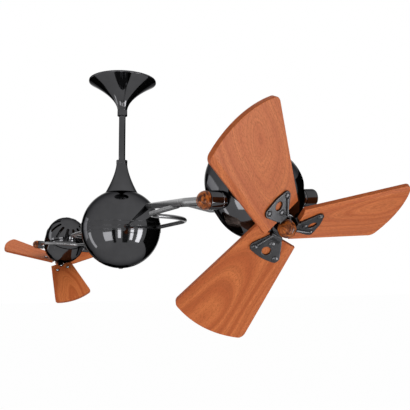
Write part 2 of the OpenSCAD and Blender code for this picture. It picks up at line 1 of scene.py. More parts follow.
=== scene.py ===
"""Looks of a twin head ceiling fan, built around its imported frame.

Metres, +Z up. The origin is the centre of the canopy's rim, in the ceiling plane.
Side 0 is head a, towards +X, and side 1 is head b, its twin half a turn round.
"""

import json
import math

import bpy
from mathutils import Matrix, Vector


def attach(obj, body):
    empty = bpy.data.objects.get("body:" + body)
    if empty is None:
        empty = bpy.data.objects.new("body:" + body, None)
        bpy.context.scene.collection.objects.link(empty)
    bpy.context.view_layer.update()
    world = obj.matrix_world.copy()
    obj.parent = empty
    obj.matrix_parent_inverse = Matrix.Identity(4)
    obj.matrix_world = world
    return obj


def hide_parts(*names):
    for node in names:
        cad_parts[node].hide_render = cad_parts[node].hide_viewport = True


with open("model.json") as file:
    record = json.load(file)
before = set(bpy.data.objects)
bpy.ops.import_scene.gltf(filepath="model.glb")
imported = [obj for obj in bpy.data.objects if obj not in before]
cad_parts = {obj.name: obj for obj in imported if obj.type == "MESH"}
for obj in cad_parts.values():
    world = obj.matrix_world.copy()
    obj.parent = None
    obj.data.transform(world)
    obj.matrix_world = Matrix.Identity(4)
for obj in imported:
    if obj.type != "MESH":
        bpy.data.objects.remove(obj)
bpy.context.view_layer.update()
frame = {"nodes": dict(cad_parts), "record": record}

bl_info = {
    "name": "Twin head ceiling fan",
    "version": (1, 0, 0),
    "blender": (4, 5, 0),
    "location": "3D View > Sidebar > Fan",
    "description": "Models and finishes a ceiling fan with two tilting heads",
    "category": "Add Mesh",
}

MM = 0.001
TURN = math.tau
WELD = 2e-6
SIDES = ("a", "b")


# ---- Settings ------------------------------------------------------------------------------

def length(name, about, default):
    return bpy.props.FloatProperty(name=name, description=about, default=default, unit="LENGTH",
                                   precision=4)


def angle(name, about, default):
    return bpy.props.FloatProperty(name=name, description=about, default=math.radians(default),
                                   subtype="ANGLE")


def colour(name, about, default):
    return bpy.props.FloatVectorProperty(name=name, description=about, default=default, size=3,
                                         subtype="COLOR", min=0, max=1)


class FanSizes(bpy.types.PropertyGroup):
    drop: length("Drop", "Ceiling to the centre of the ball", 0.294)
    rod_r: length("Rod radius", "Outer radius of the downrod", 0.0065)
    canopy_r: length("Canopy radius", "Radius of the canopy's rim", 0.066)
    canopy_h: length("Canopy height", "Height of the canopy", 0.060)
    ball_r: length("Ball radius", "Outer radius of the ball", 0.076)
    reach: length("Arm reach", "Ball's axis to a head's pivot line", 0.530)
    pivot_drop: length("Pivot drop", "Pivot lines below the ball's centre", 0.008)
    pivot_roll: angle("Pivot roll", "Roll of a pivot line about its arm", 4)
    arm_r: length("Arm radius", "Radius of the main arm tubes", 0.0055)
    bar_r: length("Bar radius", "Radius of the scroll braces and forks", 0.0035)
    tilt_a: angle("Tilt a", "Rest tilt of head a below level", 40)
    tilt_b: angle("Tilt b", "Rest tilt of head b below level", 45)
    head_r: length("Housing radius", "Outer radius of a motor housing", 0.053)
    blade_pitch: angle("Blade pitch", "Pitch of the blades", 19.5)
    blade_t: length("Blade thickness", "Thickness of the wooden blades", 0.006)
    rotor_r: length("Rotor radius", "Rotor's axis to its blade tips", 0.150)
    phase_a: angle("Rest turn a", "Resting turn of rotor a", 216)
    phase_b: angle("Rest turn b", "Resting turn of rotor b", 349)


class FanColours(bpy.types.PropertyGroup):
    nickel: colour("Black nickel", "Tint of the polished black plate", (0.062, 0.062, 0.065))
    tubes: colour("Smoke nickel", "Tint of the plate on the bent tubes", (0.14, 0.14, 0.143))
    steel: colour("Steel", "Bare steel", (0.52, 0.52, 0.54))
    wood_light: colour("Wood, light", "Early wood of the blades", (0.65, 0.188, 0.056))
    wood_dark: colour("Wood, dark", "Late wood of the blades", (0.48, 0.110, 0.030))
    wood_edge: colour("Wood, edge", "Stained edges of the blades", (0.30, 0.062, 0.016))
    burl_light: colour("Burl, light", "Light clouds of the turned wood", (0.50, 0.135, 0.024))
    burl_dark: colour("Burl, dark", "Dark eyes of the turned wood", (0.050, 0.012, 0.006))
    backdrop: colour("Backdrop", "Floor and surroundings", (0.9, 0.9, 0.9))


def sizes():
    return bpy.context.scene.fan_sizes


def colours():
    return bpy.context.scene.fan_colours


# ---- Places --------------------------------------------------------------------------------

def shift(x, y, z):
    return Matrix.Translation((x, y, z))


def turn(radians, axis):
    return Matrix.Rotation(radians, 4, axis)


def at_ball(side=0):
    return shift(0, 0, -sizes().drop) @ turn(math.pi * side, "Z")


def at_pivot(side):
    s = sizes()
    return at_ball(side) @ shift(s.reach, 0, -s.pivot_drop) @ turn(s.pivot_roll, "X")


def at_head(side):
    s = sizes()
    return at_pivot(side) @ turn(TURN / 4 + (s.tilt_a, s.tilt_b)[side], "Y")


def at_rotor(side):
    s = sizes()
    return at_head(side) @ turn((s.phase_a, s.phase_b)[side], "Z")


def at_blade(side, number):
    return (at_rotor(side) @ turn(TURN / 3 * number, "Z") @ shift(0, 0, BLADE_Z)
            @ turn(sizes().blade_pitch, "X"))


# ---- Modelling -----------------------------------------------------------------------------

def nothing_selected():
    active = bpy.context.object
    if active and active.mode != "OBJECT":
        bpy.ops.object.mode_set(mode="OBJECT")
    bpy.ops.object.select_all(action="DESELECT")


def only(piece):
    nothing_selected()
    piece.select_set(True)
    bpy.context.view_layer.objects.active = piece


def edit(piece):
    only(piece)
    bpy.ops.object.mode_set(mode="EDIT")
    bpy.ops.mesh.select_mode(type="VERT")
    bpy.ops.mesh.select_all(action="SELECT")


def object_mode():
    bpy.ops.object.mode_set(mode="OBJECT")


def weld():
    """Merges the edited mesh's doubles, turns its faces outwards and ends edit mode."""
    bpy.ops.mesh.select_all(action="SELECT")
    bpy.ops.mesh.remove_doubles(threshold=WELD)
    bpy.ops.mesh.normals_make_consistent(inside=False)
    object_mode()


def lathe(name, profile, steps, closed=False):
    """Turns a profile of (radius, height) about Z."""
    nothing_selected()
    bpy.ops.mesh.primitive_plane_add(size=0.001)
    piece = bpy.context.object
    piece.name = name
    bpy.ops.object.mode_set(mode="EDIT")
    bpy.ops.mesh.merge(type="CENTER")
    bpy.ops.transform.translate(value=(profile[0][0], 0, profile[0][1]))
    points = list(profile) + ([profile[0]] if closed else [])
    for (r0, z0), (r1, z1) in zip(points, points[1:]):
        bpy.ops.mesh.extrude_region_move(
            TRANSFORM_OT_translate={"value": (r1 - r0, 0, z1 - z0)})
    bpy.ops.mesh.select_all(action="SELECT")
    bpy.ops.mesh.spin(steps=steps, angle=TURN, center=(0, 0, 0), axis=(0, 0, 1))
    weld()
    return piece


def redrawn(name, lines, closed):
    """Draws the curve object that was just added again, as straight segments through points."""
    piece = bpy.context.object
    piece.name = name
    curve = piece.data
    curve.splines.clear()
    for places in lines:
        line = curve.splines.new("POLY")
        line.points.add(len(places) - 1)
        for point, place in zip(line.points, places):
            point.co = (*place, 1)
        line.use_cyclic_u = closed
    return piece, curve


def tube(name, points, radius, around):
    """A round bar swept along points."""
    nothing_selected()
    bpy.ops.curve.primitive_nurbs_path_add()
    piece, curve = redrawn(name, [points], False)
    curve.dimensions = "3D"
    curve.twist_mode = "MINIMUM"
    curve.bevel_depth = radius
    curve.bevel_resolution = around
    curve.use_fill_caps = True
    bpy.ops.object.convert(target="MESH")
    edit(piece)
    weld()
    return piece


def plate(name, outlines, low, high, rounding, around=3):
    """A flat plate with holes and rounded rims, from outlines in its own plane."""
    nothing_selected()
    bpy.ops.curve.primitive_bezier_circle_add()
    piece, curve = redrawn(name, [[(x, y, 0) for x, y in line] for line in outlines], True)
    curve.dimensions = "2D"
    curve.fill_mode = "BOTH"
    curve.extrude = (high - low) / 2 - rounding
    curve.bevel_depth = rounding
    curve.bevel_resolution = around
    curve.offset = -rounding
    bpy.ops.object.convert(target="MESH")
    edit(piece)
    bpy.ops.transform.translate(value=(0, 0, (high + low) / 2))
    weld()
    return piece


def in_mm(*points):
    return [tuple(value * MM for value in point) for point in points]


def ring(bore, outer, start, end):
    """Section of a plain ring, for the lathe."""
    return [(bore, start), (outer, start), (outer, end), (bore, end)]


def arc(x, y, r, first, last, steps):
    return [(x + r * math.cos(first + (last - first) * i / steps),
             y + r * math.sin(first + (last - first) * i / steps)) for i in range(steps + 1)]


def rounded_corners(points, steps=5):
    """A closed outline of (x, y, radius) with every corner rounded."""
    out = []
    for i, (x, y, r) in enumerate(points):
        here = Vector((x, y))
        back = Vector(points[i - 1][:2]) - here
        ahead = Vector(points[(i + 1) % len(points)][:2]) - here
        half = back.angle(ahead) / 2
        r = min(r, 0.49 * min(back.length, ahead.length) * math.tan(half))
        run = r / math.tan(half)
        middle = here + (back.normalized() + ahead.normalized()).normalized() * r / math.sin(half)
        a = here + back.normalized() * run - middle
        sweep = a.angle_signed(here + ahead.normalized() * run - middle)
        out += [tuple(middle + Matrix.Rotation(-sweep * k / steps, 2) @ a)
                for k in range(steps + 1)]
    return out


def modifier(piece, kind, **values):
    only(piece)
    added = piece.modifiers.new(kind.lower(), kind)
    for key, value in values.items():
        setattr(added, key, value)
    bpy.ops.object.modifier_apply(modifier=added.name)


def bevelled(piece, width, segments=2, above=35):
    modifier(piece, "BEVEL", width=width, segments=segments, limit_method="ANGLE",
             angle_limit=math.radians(above), use_clamp_overlap=True, harden_normals=False)
    return piece


def cut(piece, cutters):
    """Takes the cutters' shapes out of a piece."""
    for cutter in cutters:
        modifier(piece, "BOOLEAN", operation="DIFFERENCE", object=cutter, solver="EXACT")
    for cutter in cutters:
        bpy.data.objects.remove(cutter)
    return piece


def moved(piece, matrix):
    """Puts a piece in place and keeps the place in its mesh."""
    only(piece)
    piece.matrix_world = matrix @ piece.matrix_world
    bpy.ops.object.transform_apply(location=True, rotation=True, scale=True)
    return piece


def copied(piece, name, matrix=Matrix.Identity(4)):
    twin = piece.copy()
    twin.data = piece.data.copy()
    twin.name = name
    bpy.context.scene.collection.objects.link(twin)
    return moved(twin, matrix)


def joined(name, pieces):
    nothing_selected()
    for piece in pieces:
        piece.select_set(True)
    bpy.context.view_layer.objects.active = pieces[0]
    bpy.ops.object.join()
    pieces[0].name = name
    return pieces[0]


def keep_grain(piece, seed, rim_z=0.0):
    """Stores a wooden piece's own coordinates, for the grain, and marks its stained edges."""
    mesh = piece.data
    along, across = 0.016, 0.018
    place = Vector((along * math.sin(9 * seed), across * math.sin(5 * seed), seed))
    grain = mesh.attributes.new("grain", "FLOAT_VECTOR", "POINT")
    for vertex, value in zip(mesh.vertices, grain.data):
        value.vector = vertex.co + place
    rim = mesh.attributes.new("rim", "FLOAT", "FACE")
    for face, value in zip(mesh.polygons, rim.data):
        value.value = 1.0 if abs(face.normal.z) < rim_z else 0.0


def finished(piece, body, finish, nodes, matrix=None, smooth=30.0):
    """Places a piece, smooths it, gives it its finish and lets it ride on its body."""
    if matrix is not None:
        moved(piece, matrix)
    only(piece)
    bpy.ops.object.shade_smooth_by_angle(angle=math.radians(smooth))
    modifier(piece, "WEIGHTED_NORMAL", keep_sharp=True, weight=50)
    piece.data.materials.clear()
    piece.data.materials.append(finish)
    piece.data.name = piece.name
    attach(piece, body)
    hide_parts(*nodes)


def blackened(piece, body, nodes, matrix=None):
    """Finishes a piece in the fan's polished black plate."""
    finished(piece, body, finish_named("dark_plate"), nodes, matrix)


# ---- Finishes ------------------------------------------------------------------------------

class Finish:
    """A node material that is built once and found again by its name."""

    def __init__(self, name):
        self.material = bpy.data.materials.new(name)
        self.material.use_nodes = True
        self.tree = self.material.node_tree
        self.shader = self.tree.nodes["Principled BSDF"]

    def node(self, kind, **values):
        made = self.tree.nodes.new(kind)
        for key, value in values.items():
            setattr(made, key, value)
        return made

    def link(self, source, target):
        self.tree.links.new(source, target)

    def set(self, **values):
        for key, value in values.items():
            self.shader.inputs[key.replace("_", " ")].default_value = value

    def coordinates(self, scale=(1, 1, 1), attribute=None):
        mapping = self.node("ShaderNodeMapping")
        mapping.inputs["Scale"].default_value = scale
        if attribute:
            source = self.node("ShaderNodeAttribute", attribute_name=attribute)
            self.link(source.outputs["Vector"], mapping.inputs["Vector"])
        else:
            source = self.node("ShaderNodeTexCoord")
            self.link(source.outputs["Object"], mapping.inputs["Vector"])
        return mapping.outputs["Vector"]

    def noise(self, vector, scale, detail=3.0, roughness=0.5, distortion=0.0):
        made = self.node("ShaderNodeTexNoise")
        self.link(vector, made.inputs["Vector"])
        for key, value in (("Scale", scale), ("Detail", detail), ("Roughness", roughness),
                           ("Distortion", distortion)):
            made.inputs[key].default_value = value
        return made.outputs["Fac"]

    def ranged(self, value, low, high, to_low, to_high):
        made = self.node("ShaderNodeMapRange")
        self.link(value, made.inputs["Value"])
        for key, number in (("From Min", low), ("From Max", high), ("To Min", to_low),
                            ("To Max", to_high)):
            made.inputs[key].default_value = number
        return made.outputs["Result"]

    def mix(self, factor, first, second):
        made = self.node("ShaderNodeMix", data_type="RGBA")
        for index, value in ((0, factor), (6, first), (7, second)):
            if isinstance(value, bpy.types.NodeSocket):
                self.link(value, made.inputs[index])
            elif index == 0:
                made.inputs[0].default_value = value
            else:
                made.inputs[index].default_value = (*value[:3], 1)
        return made.outputs[2]

    def maths(self, operation, *values):
        made = self.node("ShaderNodeMath", operation=operation)
        for index, value in enumerate(values):
            if isinstance(value, bpy.types.NodeSocket):
                self.link(value, made.inputs[index])
            else:
                made.inputs[index].default_value = value
        return made.outputs[0]

    def bump(self, height, strength, distance):
        made = self.node("ShaderNodeBump")
        made.inputs["Strength"].default_value = strength
        made.inputs["Distance"].default_value = distance
        self.link(height, made.inputs["Height"])
        self.link(made.outputs["Normal"], self.shader.inputs["Normal"])


def plated(name, tint, rough, edge):
    """Polished plate: a mirror with slow waves in it and faint handling marks."""
    f = Finish(name)
    f.set(Metallic=1.0, Specular_Tint=(edge, edge, edge, 1))
    where = f.coordinates()
    clouds = f.noise(where, 22, 4, 0.6)
    f.link(f.mix(f.ranged(clouds, 0.3, 0.7, 0, 1), [0.86 * c for c in tint],
                 [1.14 * c for c in tint]), f.shader.inputs["Base Color"])
    marks = f.noise(where, 70, 4, 0.6)
    f.link(f.ranged(marks, 0.35, 0.7, *rough), f.shader.inputs["Roughness"])
    f.bump(f.noise(where, 26, 1, 0.4), 0.05, 0.8 * MM)
    return f.material


def dark_plate():
    return plated("dark_plate", colours().nickel, (0.05, 0.10), 0.35)


def smoke_plate():
    """The bent tubes' plate, a little brighter and softer than the polished one."""
    return plated("smoke_plate", colours().tubes, (0.27, 0.35), 1.0)


def satin_plate():
    """Plate over cast brackets, which stays dull."""
    return plated("satin_plate", [0.9 * c for c in colours().nickel], (0.26, 0.40), 0.5)


def bare_steel(name="bare_steel", tint=None, rough=(0.24, 0.42)):
    """Bare metal with a fine brushed unevenness, in steel unless a tint is given."""
    f = Finish(name)
    tint = tint or colours().steel
    f.set(Metallic=1.0)
    where = f.coordinates()
    f.link(f.mix(f.noise(where, 60, 4), [0.8 * c for c in tint], [1.1 * c for c in tint]),
           f.shader.inputs["Base Color"])
    f.link(f.ranged(f.noise(where, 420, 4, 0.7), 0.3, 0.7, *rough), f.shader.inputs["Roughness"])
    f.bump(f.noise(where, 900, 2), 0.08, 0.1 * MM)
    return f.material


def moulded_plastic():
    f = Finish("moulded_plastic")
    f.set(Base_Color=(0.022, 0.022, 0.024, 1))
    where = f.coordinates()
    f.link(f.ranged(f.noise(where, 300, 4), 0.3, 0.7, 0.42, 0.6), f.shader.inputs["Roughness"])
    f.bump(f.noise(where, 1600, 2), 0.2, 0.08 * MM)
    return f.material


def lacquered_mahogany():
    """Long figure that arches near the root, fine grain, pores and darker stained rims."""
    f = Finish("lacquered_mahogany")
    c = colours()
    f.set(Coat_Weight=0.03, Coat_Roughness=0.3, Specular_IOR_Level=0.1)
    wander = f.noise(f.coordinates((6, 15, 1), "grain"), 1, 1, 0.4)
    push = f.maths("MULTIPLY", f.maths("SUBTRACT", wander, 0.5), 0.060)
    split = f.node("ShaderNodeSeparateXYZ")
    f.link(f.coordinates((1, 1, 1), "grain"), split.inputs["Vector"])
    across = f.maths("ADD", split.outputs["Y"], push)
    along = f.maths("MULTIPLY", f.maths("SUBTRACT", split.outputs["X"], 0.128), 0.27)
    spread = f.maths("SQRT", f.maths("ADD", f.maths("MULTIPLY", across, across),
                                     f.maths("MULTIPLY", along, along)))
    join = f.node("ShaderNodeCombineXYZ")
    f.link(spread, join.inputs["X"])
    f.link(split.outputs["Z"], join.inputs["Z"])
    rings = f.noise(join.outputs["Vector"], 135, 2, 0.45)
    lines = f.noise(join.outputs["Vector"], 620, 1, 0.5)
    figure = f.noise(f.coordinates((12, 30, 1), "grain"), 1, 3, 0.5, 0.3)
    grain = f.noise(f.coordinates((26, 560, 90), "grain"), 1, 3, 0.62)
    pores = f.noise(f.coordinates((330, 1250, 400), "grain"), 1, 2, 0.5)
    base = f.mix(f.ranged(rings, 0.32, 0.60, 0, 1), c.wood_dark, c.wood_light)
    base = f.mix(f.ranged(figure, 0.35, 0.7, 0.0, 0.25), base, [0.9 * v for v in c.wood_dark])
    base = f.mix(f.ranged(lines, 0.50, 0.60, 0.0, 0.26), base, c.wood_edge)
    base = f.mix(f.ranged(grain, 0.50, 0.68, 0.0, 0.20), base, c.wood_edge)
    base = f.mix(f.ranged(pores, 0.53, 0.62, 0.0, 0.46), base, c.wood_edge)
    rim = f.node("ShaderNodeAttribute", attribute_name="rim")
    base = f.mix(f.maths("MULTIPLY", rim.outputs["Fac"], 0.6), base, c.wood_edge)
    f.link(base, f.shader.inputs["Base Color"])
    f.link(f.ranged(pores, 0.4, 0.75, 0.42, 0.6), f.shader.inputs["Roughness"])
    f.bump(pores, 0.10, 0.12 * MM)
    return f.material


def turned_burl():
    """Dark turned burl under a thick gloss."""
    f = Finish("turned_burl")
    c = colours()
    f.set(Coat_Weight=0.12, Coat_Roughness=0.07, Specular_IOR_Level=0.08, Roughness=0.35)
    clouds = f.noise(f.coordinates((1, 1, 1), "grain"), 95, 4, 0.6, 2.2)
    eyes = f.node("ShaderNodeTexVoronoi", feature="SMOOTH_F1")
    f.link(f.coordinates((1, 1, 1.4), "grain"), eyes.inputs["Vector"])
    eyes.inputs["Scale"].default_value = 130
    base = f.mix(f.ranged(clouds, 0.41, 0.62, 0, 1), c.burl_dark, c.burl_light)
    base = f.mix(f.ranged(eyes.outputs["Distance"], 0.05, 0.4, 0.6, 0.0), base, c.burl_dark)
    f.link(base, f.shader.inputs["Base Color"])
    return f.material


def winding_varnish():
    f = Finish("winding_varnish")
    wave = f.node("ShaderNodeTexWave", wave_type="BANDS", bands_direction="Z")
    f.link(f.coordinates(), wave.inputs["Vector"])
    wave.inputs["Scale"].default_value = 240
    f.link(f.mix(wave.outputs["Fac"], (0.012, 0.008, 0.006), (0.07, 0.03, 0.015)),
           f.shader.inputs["Base Color"])
    f.set(Metallic=0.4, Roughness=0.42)
    f.bump(wave.outputs["Fac"], 0.3, 0.3 * MM)
    return f.material


def finish_named(name):
    makers = {"dark_plate": dark_plate, "smoke_plate": smoke_plate, "satin_plate": satin_plate,
              "bare_steel": bare_steel, "lacquered_mahogany": lacquered_mahogany,
              "turned_burl": turned_burl, "moulded_plastic": moulded_plastic,
              "winding_varnish": winding_varnish}
    return bpy.data.materials.get(name) or makers[name]()


# ---- Suspension ----------------------------------------------------------------------------

class FAN_OT_suspension(bpy.types.Operator):
    """Model the canopy, the rod, their collars and the trumpet over the ball"""
    bl_idname = "fan.suspension"
    bl_label = "Suspension"

    def execute(self, context):
        s = sizes()
        lip, neck, wall, sleeve, steps = 3 * MM, 9.5 * MM, 1.2 * MM, 8 * MM, 40
        bore, foot, flare = s.rod_r + 0.25 * MM, -s.canopy_h, s.canopy_r - neck
        outer = [(s.canopy_r, 0), (s.canopy_r, -lip)]
        for t in [i / steps for i in range(1, steps + 1)]:
            outer.append((neck + flare * (1 - t) ** 1.8, -lip - (s.canopy_h - lip) * t))
        inner = [(max(r - wall, 7.6 * MM), z) for r, z in outer if z > foot + sleeve]
        profile = outer + [(bore, foot), (bore, foot + sleeve)] + inner[::-1]
        canopy = bevelled(lathe("canopy_cover", profile, 128, True), 0.5 * MM, 2, 60)
        blackened(canopy, "root", ["canopy"])

        section = ring(s.rod_r, 9.7 * MM, foot, foot - 11 * MM)
        collar = bevelled(lathe("canopy_collar_ring", section, 96, True), 0.6 * MM)
        blackened(collar, "root", ["canopy_collar"])

        # The rod's foot stands in the lower collar, on top of the trumpet
        top, foot = -10 * MM, -s.drop + 127 * MM
        section = ring(s.rod_r - 1.5 * MM, s.rod_r, foot, top)
        blackened(lathe("rod_tube", section, 64, True), "root", ["downrod"])
        section = ring(s.rod_r, 10.8 * MM, foot, foot + 7 * MM)
        collar = bevelled(lathe("lower_collar_ring", section, 96, True), 0.7 * MM)
        blackened(collar, "root", ["lower_collar"])

        neck, flare, height, wall, steps = 10.6, 20.4, 57 * MM, 2 * MM, 36
        outer = [((neck + flare * (i / steps) ** 1.55) * MM, foot - height * i / steps)
                 for i in range(steps + 1)]
        mouth, ball, gap = outer[-1][0], s.ball_r + 0.4 * MM, 0.1 * MM
        rim_z = math.sqrt(ball ** 2 - (mouth - wall) ** 2) - s.drop
        inner = [(r - wall, z) for r, z in outer[::-1] if z > rim_z + 3 * MM]
        edge = [(mouth, -s.drop + math.sqrt(ball ** 2 - mouth ** 2) + gap),
                (mouth - wall, rim_z + gap)]
        cone = lathe("ball_trumpet", outer[:-1] + edge + inner + [(5 * MM, foot)], 128, True)
        blackened(bevelled(cone, 0.3 * MM, 2, 60), "root", ["bell_cone"])
        return {"FINISHED"}


class FAN_OT_ball(bpy.types.Operator):
    """Model the ball's two shells, the belt over their seam and the screw under it"""
    bl_idname = "fan.ball"
    bl_label = "Ball"

    def execute(self, context):
        r, steps = sizes().ball_r, 48
        inner, crown, seat, hole = r - 2.5 * MM, 12 * MM, 4.2 * MM, 2.1 * MM
        hole_turn = 0.03
        upper = (arc(0, 0, r, math.acos(crown / r), 0, steps)
                 + arc(0, 0, inner, 0, math.acos(crown / inner), steps))
        blackened(lathe("ball_upper", upper, 160, True), "carriage", ["upper_shell"], at_ball())
        lower = (arc(0, 0, r, 0, -math.acos(seat / r), steps)
                 + [(seat, -r + MM), (hole, -r + MM), (hole, -inner)]
                 + arc(0, 0, inner, hole_turn - TURN / 4, 0, steps)[1:])
        blackened(lathe("ball_lower", lower, 160, True), "carriage", ["lower_shell"], at_ball())

        low_z, high_z, proud, deep = -8 * MM, 10 * MM, 0.7 * MM, 0.2 * MM
        groove, inset = 0.45 * MM, 1.4 * MM

        def on_belt(z, out=proud):
            return math.sqrt((r + out) ** 2 - z ** 2), z

        line, start = [on_belt(low_z)], low_z
        for middle in (low_z + inset, 0, high_z - inset):
            end = middle - groove
            line += [on_belt(start + (end - start) * i / 8) for i in range(1, 9)]
            start = middle + groove
            line += [on_belt(end, deep), on_belt(start, deep), on_belt(start)]
        line += [on_belt(start + (high_z - start) * i / 3) for i in range(1, 4)]
        line += [on_belt(high_z, 0), on_belt(0, 0), on_belt(low_z, 0)]
        belt = bevelled(lathe("ball_belt", line, 160, True), 0.12 * MM, 2, 50)
        blackened(belt, "carriage", ["equator_band"], at_ball())

        head = in_mm((0, -77.2), (3.2, -77.2), (4, -76.7), (4, -75), (2, -75), (2, -42), (0, -42))
        slot = in_mm((-6, -0.5), (6, -0.5), (6, 0.5), (-6, 0.5))
        screw = cut(lathe("ball_screw", head, 48),
                    [plate("slot_tool", [slot], -79 * MM, -76.6 * MM, 0.05 * MM, 1)])
        blackened(screw, "carriage", ["stay_screw"], at_ball())
        return {"FINISHED"}


# ---- Arms ----------------------------------------------------------------------------------

# The arm's axis where it leaves the ball and where it bends, and how far it runs into the ball
ARM_ENTRY = Vector((55, 34.8, 39.1)) * MM
ARM_BEND = Vector((456, -62, -6)) * MM
ARM_ROOT = 38 * MM
# The yoke's bar beside the head, its foot as a share of the arm, and the bars' gap to the pivots
YOKE_Y = 62 * MM
YOKE_FOOT = 0.955
BAR_GAP = 6 * MM
BARREL_IN = 53.5 * MM
BARREL_OUT = 68 * MM
FINIAL_Z = BARREL_OUT + 0.2 * MM


def eased(a, b, c, radius, steps=12):
    """Points of a smooth run from a to c, with the corner b rounded."""
    back, ahead = (a - b).normalized(), (c - b).normalized()
    half = back.angle(ahead) / 2
    run = radius / math.tan(half)
    out = [a + (b + back * run - a) * i / 6 for i in range(7)]
    middle = b + (back + ahead).normalized() * radius / math.sin(half)
    first = (b + back * run - middle).normalized()
    last = (b + ahead * run - middle).normalized()
    for i in range(1, steps):
        out.append(middle + radius * first.slerp(last, i / steps))
    out += [b + ahead * run + (c - b - ahead * run) * i / 4 for i in range(5)]
    return out


def flat(points, z=0.0):
    return [Vector((x, y, z)) for x, y in points]


def line_points(start, end, count):
    return [(start[0] + (end[0] - start[0]) * i / count,
             start[1] + (end[1] - start[1]) * i / count) for i in range(count + 1)]


class FAN_OT_arms(bpy.types.Operator):
    """Model the arm, the scrolled brace, the fork and the pivot barrels of each side"""
    bl_idname = "fan.arms"
    bl_label = "Arms"

    def execute(self, context):
        s = sizes()
        smoke = finish_named("smoke_plate")
        inward = (ARM_ENTRY - ARM_BEND).normalized()
        roll = s.pivot_roll
        barrels = []
        for side, mark in enumerate(SIDES):
            end = Vector((s.reach - BAR_GAP, -YOKE_Y * math.cos(roll),
                          -s.pivot_drop - YOKE_Y * math.sin(roll)))
            run = eased(ARM_ENTRY + inward * ARM_ROOT, ARM_BEND, end, 70 * MM)
            arm = tube("arm_tube_" + mark, run, s.arm_r, 14)
            finished(arm, "carriage", smoke, ["main_arm_" + mark], at_ball(side))

            big, small, turn_by, mid = 85 * MM, 28 * MM, math.radians(76.1), 8 * MM
            start, tail = Vector((36, 52)) * MM, 383 * MM
            centre = Vector((172, -33)) * MM
            out = Vector((math.sin(turn_by), math.cos(turn_by)))
            down = Vector((math.cos(turn_by), -math.sin(turn_by)))
            second = centre + big * out + mid * down + small * out
            foot_y = second.y - small
            scroll = line_points(start, (centre.x, start.y), 8)[:-1]
            scroll += arc(*centre, big, TURN / 4, TURN / 4 - turn_by, 36)
            scroll += arc(*second, small, 3 * TURN / 4 - turn_by, 3 * TURN / 4, 24)
            scroll += line_points((second.x, foot_y), (tail, foot_y), 6)[1:]
            brace = tube("scroll_bar_" + mark, flat(scroll, -1 * MM), s.bar_r, 12)
            finished(brace, "carriage", smoke, ["scroll_brace_" + mark],
                     at_ball(side))

            bow_r, bow_turn = 57 * MM, math.radians(106.7)
            middle = Vector((-57.5 * MM, YOKE_Y - bow_r))
            bow = line_points((-BAR_GAP, YOKE_Y), (middle.x, YOKE_Y), 4)[:-1]
            bow += arc(*middle, bow_r, TURN / 4, TURN / 4 + bow_turn, 48)
            bow = flat(bow)
            on_arm = ARM_ENTRY.lerp(ARM_BEND, YOKE_FOOT)
            foot = at_pivot(side).inverted() @ at_ball(side) @ on_arm
            bow += [bow[-1].lerp(foot, i / 5) for i in range(1, 6)]
            fork = tube("fork_bar_" + mark, bow, s.bar_r, 12)
            finished(fork, "carriage", smoke, ["yoke_" + mark], at_pivot(side))

            for end_sign in (-1, 1):
                section = ring(5.05 * MM, 10.5 * MM, BARREL_IN, BARREL_OUT)
                barrel = bevelled(lathe("barrel", section, 72, True), 0.7 * MM, 3)
                barrels.append(moved(barrel, at_pivot(side) @ turn(-end_sign * TURN / 4, "X")))
        blackened(joined("barrels", barrels), "carriage", ["pivot_barrels"])
        return {"FINISHED"}


# ---- Heads ---------------------------------------------------------------------------------

DOME_Z = -38 * MM
BOWL_Z = -11 * MM
BOWL_FRONT = 34 * MM
BOSS_R = 12 * MM
BEARING_R = 9 * MM
WALL = 2.5 * MM
# The slots' turn from the front and the windows' lift from the equator, and their cutters' depths
SLOT_TURN = math.radians(133)
SLOT_DEPTHS = (20 * MM, 58 * MM)
WINDOW_LIFT = math.radians(29.5)
WINDOW_DEPTHS = (30 * MM, 75 * MM)
TOOL_EDGE = 0.01 * MM


def stadium(half_length, half_width, steps=8):
    return (arc(half_length, 0, half_width, -TURN / 4, TURN / 4, steps)
            + arc(-half_length, 0, half_width, TURN / 4, 3 * TURN / 4, steps))


class FAN_OT_domes(bpy.types.Operator):
    """Model the slotted rear half of each motor housing"""
    bl_idname = "fan.domes"
    bl_label = "Rear domes"

    def execute(self, context):
        head_r, steps = sizes().head_r, 36
        r = head_r - 1.8 * MM
        inner = r - WALL
        spigot, spigot_z = head_r - WALL - 0.1 * MM, DOME_Z + 6 * MM
        seat_z, back_z = -76 * MM, -82 * MM
        profile = arc(0, DOME_Z, r, -TURN / 4, 0, steps)
        profile += [(spigot, DOME_Z), (spigot, spigot_z), (spigot - 2.4 * MM, spigot_z)]
        profile += arc(0, DOME_Z, inner, 0, -math.acos(BOSS_R / inner), steps)[3:]
        profile += [(BOSS_R, seat_z), (BEARING_R, seat_z), (BEARING_R, back_z), (0, back_z)]
        dome = lathe("dome_a", profile, 144)
        tools = []
        for i in range(12):
            tool = plate("slot_tool", [stadium(13.5 * MM, 3.5 * MM)], *SLOT_DEPTHS, TOOL_EDGE, 1)
            place = (turn((i + 0.5) * TURN / 12, "Z") @ shift(0, 0, DOME_Z)
                     @ turn(SLOT_TURN, "Y"))
            tools.append(moved(tool, place))
        cut(dome, [joined("slot_tools", tools)])
        bevelled(dome, 0.5 * MM, 2, 50)
        for side, piece in enumerate((dome, copied(dome, "dome_b"))):
            mark = SIDES[side]
            blackened(piece, "head_" + mark, ["rear_dome_" + mark], at_head(side))
        return {"FINISHED"}


